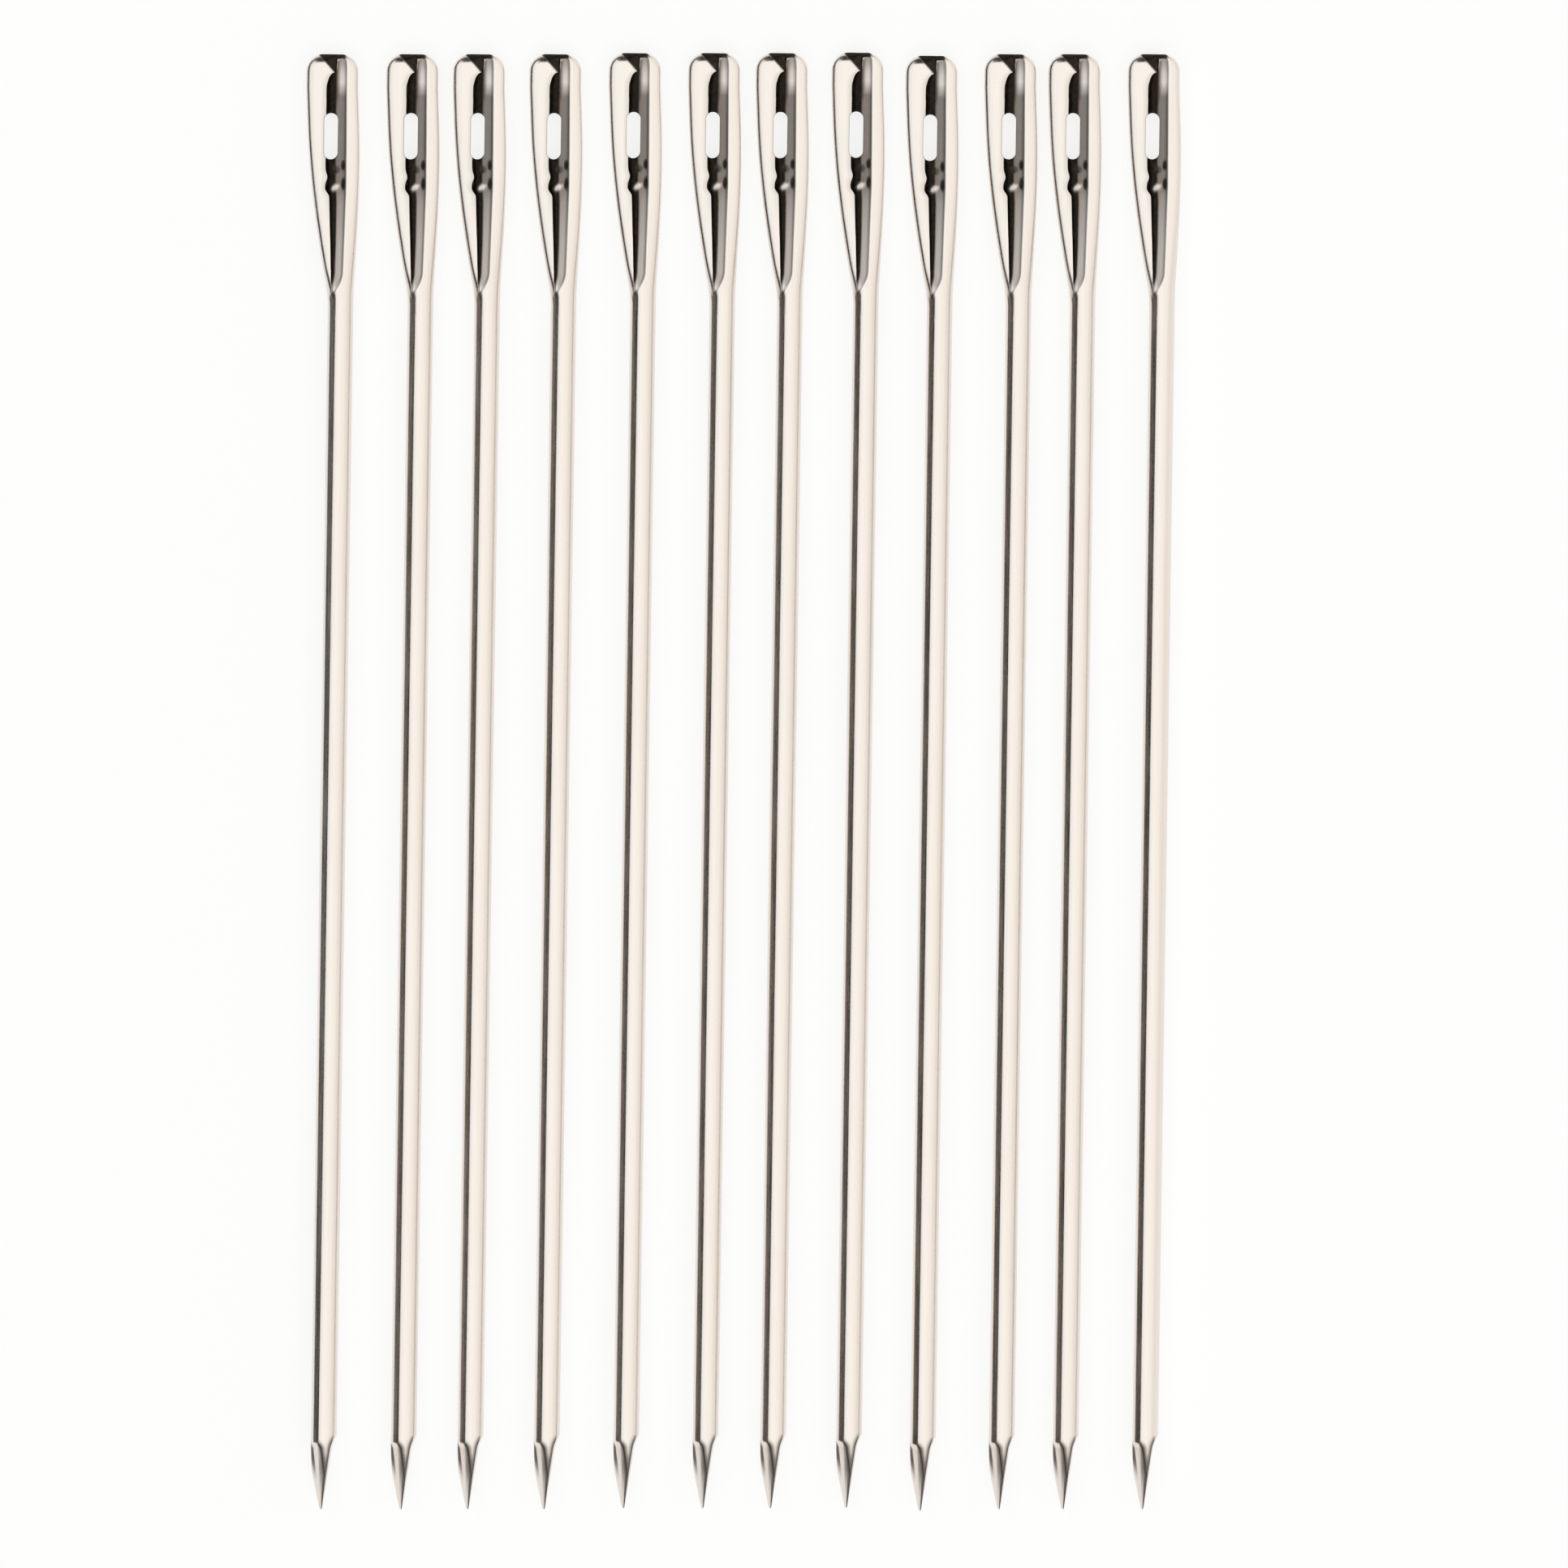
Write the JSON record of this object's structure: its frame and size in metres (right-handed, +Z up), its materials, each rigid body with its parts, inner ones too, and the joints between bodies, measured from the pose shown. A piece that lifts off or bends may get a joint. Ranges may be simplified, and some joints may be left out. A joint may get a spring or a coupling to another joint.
{
  "type": "hair weaving needle set",
  "caption": "Straight hair weaving needles lying side by side: pressed heads with long eyes and gutters, round shanks and three-sided ground points.",
  "frame": {"origin": "middle of the row's outline, on the surface that the needles lie on", "axes": "+Y towards the eye ends, +X across the row from the first needle to the last, +Z up out of the surface"},
  "size_m": [0.039, 0.0652, 0.0011],
  "materials": {
    "plated_steel": "bright nickel plate, polished"
  },
  "bodies": {
    "root": {"needle_01": "plated_steel", "needle_02": "plated_steel", "needle_03": "plated_steel", "needle_04": "plated_steel", "needle_05": "plated_steel", "needle_06": "plated_steel", "needle_07": "plated_steel", "needle_08": "plated_steel", "needle_09": "plated_steel", "needle_10": "plated_steel", "needle_11": "plated_steel", "needle_12": "plated_steel"}
  },
  "joints": []
}
